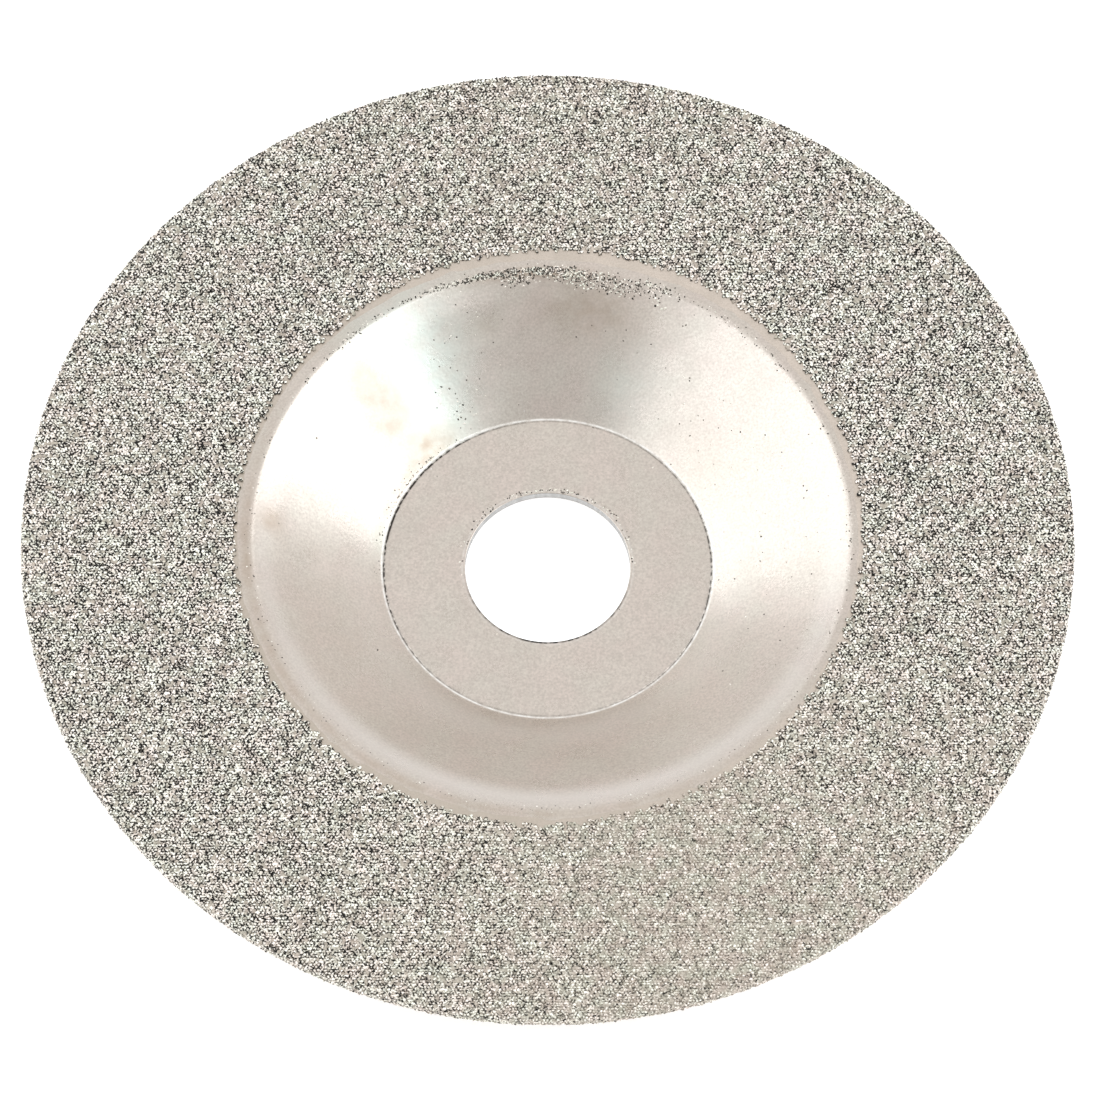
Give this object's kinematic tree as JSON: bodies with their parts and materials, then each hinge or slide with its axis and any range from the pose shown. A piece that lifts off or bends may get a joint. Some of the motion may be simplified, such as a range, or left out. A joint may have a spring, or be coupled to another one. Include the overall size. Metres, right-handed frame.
{
  "type": "diamond grinding wheel",
  "caption": "Dished grinding wheel: pressed steel plate with a central bore and a plated ring of diamond grit on the rim's front face and edge.",
  "frame": {"origin": "centre of the bore on the hub's back face, which is the lowest face", "axes": "+Z along the wheel's axis, out of the dished front that carries the grit; X and Y are any two radii"},
  "size_m": [0.1016, 0.1016, 0.0088],
  "materials": {
    "plated_steel": "satin nickel plate, faintly mottled and stained",
    "nickel": "matt electroplated nickel",
    "diamond_grit": "coarse sparkling diamond grains set in nickel"
  },
  "bodies": {
    "root": {"steel_core": "plated_steel", "nickel_bond": "nickel", "diamond_grit": "diamond_grit"}
  },
  "joints": []
}
